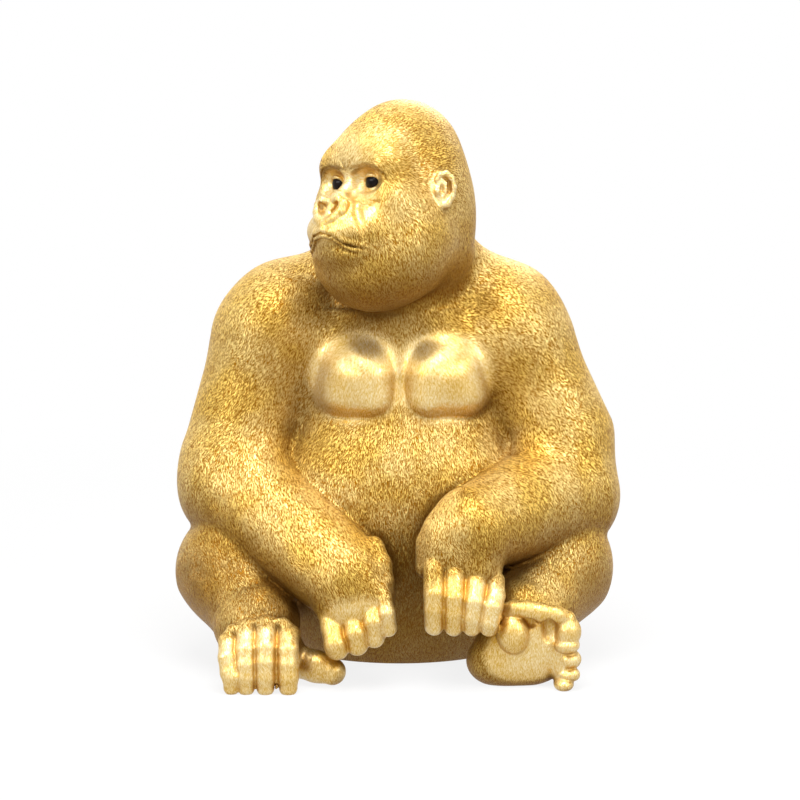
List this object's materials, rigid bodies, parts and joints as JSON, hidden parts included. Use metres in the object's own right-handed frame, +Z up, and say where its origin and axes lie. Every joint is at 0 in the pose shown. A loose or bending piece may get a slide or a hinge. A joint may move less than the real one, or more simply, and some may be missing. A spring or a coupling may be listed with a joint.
{
  "type": "gorilla figurine",
  "caption": "Sitting gorilla figurine in gold lacquer, head turned to its right, forearms over the knees, combed fur relief and set-in black bead eyes",
  "frame": {"origin": "middle of the outline, on the surface that the figurine stands on", "axes": "+Z up, -Y is where the chest faces, +X is the gorilla's own left side"},
  "size_m": [0.312, 0.259, 0.39],
  "materials": {
    "gold_lacquer": "satin gold lacquer over cast resin, pale on the raised fur and amber in the hollows",
    "black_bead": "polished black"
  },
  "bodies": {
    "root": {"gorilla": "gold_lacquer", "eye_left": "black_bead", "eye_right": "black_bead"}
  },
  "joints": []
}
